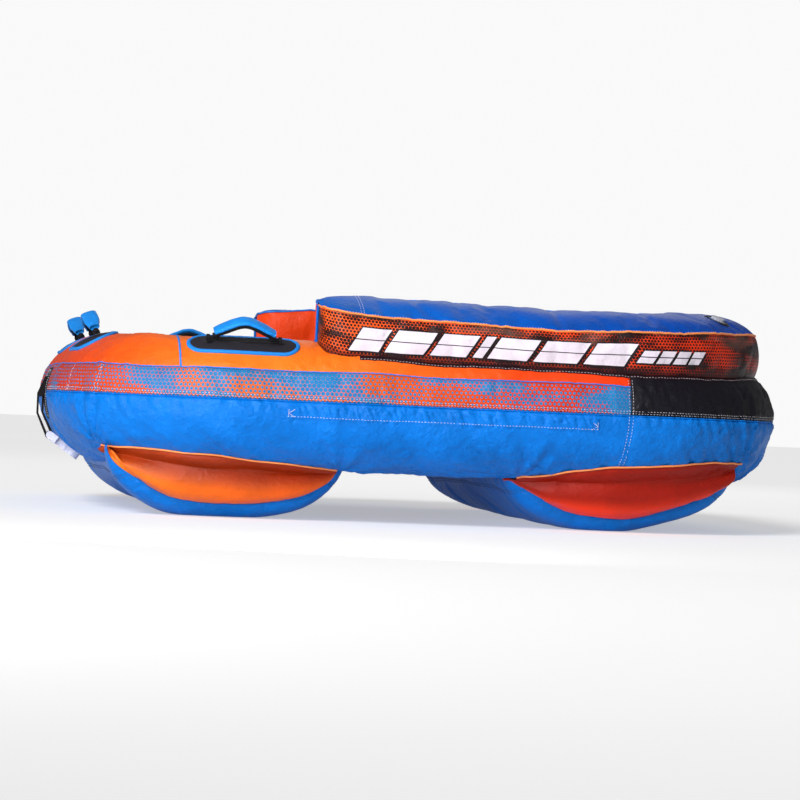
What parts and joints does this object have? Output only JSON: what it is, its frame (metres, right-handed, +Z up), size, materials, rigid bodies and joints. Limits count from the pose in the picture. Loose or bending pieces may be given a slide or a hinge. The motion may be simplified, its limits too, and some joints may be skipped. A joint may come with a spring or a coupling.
{
  "type": "towable tube",
  "caption": "Two-rider towable water tube: ring hull around a sunk cockpit, wraparound backrest, two crosswise pontoons, padded grab handles and a front tow connector.",
  "frame": {"origin": "middle of the overall box's footprint, on the ground under the pontoons", "axes": "+Z up, the rider faces -X towards the tow point, +Y to the rider's right"},
  "size_m": [1.9012, 1.6, 0.5597],
  "materials": {
    "blue_nylon": "coated woven nylon, satin",
    "deep_blue_nylon": "coated woven nylon, satin",
    "orange_nylon": "coated woven nylon, satin",
    "printed_band": "coated woven nylon printed with blue dots",
    "printed_backrest": "coated woven nylon printed with black dots",
    "red_nylon": "coated woven nylon, satin",
    "black_nylon": "coated woven nylon, satin",
    "bladder_vinyl": "heavy gauge vinyl, glossy",
    "seat_foam": "textured foam with a knit face",
    "neoprene": "knit-faced neoprene, matt",
    "blue_binding": "stretch binding tape",
    "blue_grip": "padded woven sleeve",
    "black_webbing": "woven webbing",
    "white_plastic": "moulded nylon, satin",
    "grey_plastic": "moulded, satin",
    "pale_plastic": "moulded, satin",
    "boot_rubber": "matt",
    "zip_tape": "woven tape with coil teeth",
    "zip_metal": "satin"
  },
  "bodies": {
    "hull": {"hull_lower_cover": "blue_nylon", "hull_side_band": "printed_band", "hull_deck_cover": "orange_nylon", "hull_rear_panel": "black_nylon", "hull_bladder": "bladder_vinyl", "floor_cover": "deep_blue_nylon", "floor_bladder": "bladder_vinyl", "seat_pad_left": "seat_foam", "seat_pad_right": "seat_foam", "backrest_outer_panel": "printed_backrest", "backrest_top_panel": "blue_nylon", "backrest_inner_panel": "red_nylon", "backrest_bladder": "bladder_vinyl", "front_pontoon_wrap": "blue_nylon", "front_pontoon_ends": "orange_nylon", "front_pontoon_bladder": "bladder_vinyl", "rear_pontoon_wrap": "blue_nylon", "rear_pontoon_ends": "orange_nylon", "rear_pontoon_bladder": "bladder_vinyl", "pad_front_left": "neoprene", "pad_front_right": "neoprene", "pad_side_left": "neoprene", "pad_side_right": "neoprene", "binding_front_left": "blue_binding", "binding_front_right": "blue_binding", "binding_side_left": "blue_binding", "binding_side_right": "blue_binding", "handle_anchor_tabs": "black_webbing", "tow_patch": "black_webbing", "tow_anchor": "black_webbing", "valve_boots": "boot_rubber", "valve_bodies": "grey_plastic", "zip_tapes": "zip_tape", "zip_flap": "blue_nylon"},
    "tow_loop": {"tow_loop": "black_webbing"},
    "tow_connector": {"tow_connector": "white_plastic"},
    "zip_slider": {"zip_slider": "zip_metal"},
    "handle_front_left": {"strap_front_left": "black_webbing", "grip_front_left": "blue_grip"},
    "handle_front_right": {"strap_front_right": "black_webbing", "grip_front_right": "blue_grip"},
    "handle_side_left": {"strap_side_left": "black_webbing", "grip_side_left": "blue_grip"},
    "handle_side_right": {"strap_side_right": "black_webbing", "grip_side_right": "blue_grip"},
    "leash_backrest": {"leash_backrest": "pale_plastic"},
    "cap_backrest": {"cap_backrest": "pale_plastic"},
    "leash_hull": {"leash_hull": "pale_plastic"},
    "cap_hull": {"cap_hull": "pale_plastic"},
    "leash_front_pontoon": {"leash_front_pontoon": "pale_plastic"},
    "cap_front_pontoon": {"cap_front_pontoon": "pale_plastic"},
    "leash_rear_pontoon": {"leash_rear_pontoon": "pale_plastic"},
    "cap_rear_pontoon": {"cap_rear_pontoon": "pale_plastic"}
  },
  "joints": [
    {"name": "tow_loop_swing", "type": "hinge", "parent": "hull", "child": "tow_loop", "pos_m": [-0.94201, 0, 0.285], "axis": [0, 1, 0], "range_deg": [0, 100]},
    {"name": "tow_connector_swing", "type": "hinge", "parent": "tow_loop", "child": "tow_connector", "pos_m": [-0.91461, 0, 0.177], "axis": [0, 1, 0], "range_deg": [0, 100]},
    {"name": "handle_front_left_fold", "type": "hinge", "parent": "hull", "child": "handle_front_left", "pos_m": [-0.82875, -0.334, 0.44804], "axis": [0, 1, 0], "range_deg": [-70, 70]},
    {"name": "handle_front_right_fold", "type": "hinge", "parent": "hull", "child": "handle_front_right", "pos_m": [-0.82875, 0.334, 0.44804], "axis": [0, 1, 0], "range_deg": [-70, 70]},
    {"name": "handle_side_left_fold", "type": "hinge", "parent": "hull", "child": "handle_side_left", "pos_m": [-0.48741, -0.71877, 0.43959], "axis": [1, 0, 0], "range_deg": [-70, 70]},
    {"name": "handle_side_right_fold", "type": "hinge", "parent": "hull", "child": "handle_side_right", "pos_m": [-0.48741, 0.71877, 0.43959], "axis": [1, 0, 0], "range_deg": [-70, 70]},
    {"name": "leash_backrest_lift", "type": "slide", "parent": "hull", "child": "leash_backrest", "axis": [0.2668, -0.2668, 0.9261], "range_m": [0, 0.012]},
    {"name": "cap_backrest_turn", "type": "hinge", "parent": "leash_backrest", "child": "cap_backrest", "pos_m": [0.73335, -0.58276, 0.54319], "axis": [0.2668, -0.2668, 0.9261], "range_deg": [0, 1080]},
    {"name": "leash_hull_lift", "type": "slide", "parent": "hull", "child": "leash_hull", "axis": [0.6691, 0, 0.7431], "range_m": [0, 0.012]},
    {"name": "cap_hull_turn", "type": "hinge", "parent": "leash_hull", "child": "cap_hull", "pos_m": [-0.66235, 0, 0.4039], "axis": [0.6691, 0, 0.7431], "range_deg": [0, 1080]},
    {"name": "leash_front_pontoon_lift", "type": "slide", "parent": "hull", "child": "leash_front_pontoon", "axis": [0.848, 0, -0.5299], "range_m": [0, 0.012]},
    {"name": "cap_front_pontoon_turn", "type": "hinge", "parent": "leash_front_pontoon", "child": "cap_front_pontoon", "pos_m": [-0.23234, 0, 0.07442], "axis": [0.848, 0, -0.5299], "range_deg": [0, 1080]},
    {"name": "leash_rear_pontoon_lift", "type": "slide", "parent": "hull", "child": "leash_rear_pontoon", "axis": [0.848, 0, -0.5299], "range_m": [0, 0.012]},
    {"name": "cap_rear_pontoon_turn", "type": "hinge", "parent": "leash_rear_pontoon", "child": "cap_rear_pontoon", "pos_m": [0.76066, 0, 0.07442], "axis": [0.848, 0, -0.5299], "range_deg": [0, 1080]},
    {"name": "zip_slide", "type": "slide", "parent": "hull", "child": "zip_slider", "axis": [1, 0, 0], "range_m": [0, 0.7]}
  ],
  "couplings": [
    {"joint": "cap_backrest_turn", "follows": "leash_backrest_lift", "rad_per_m": 1570.8},
    {"joint": "cap_hull_turn", "follows": "leash_hull_lift", "rad_per_m": 1570.8},
    {"joint": "cap_front_pontoon_turn", "follows": "leash_front_pontoon_lift", "rad_per_m": 1570.8},
    {"joint": "cap_rear_pontoon_turn", "follows": "leash_rear_pontoon_lift", "rad_per_m": 1570.8}
  ]
}
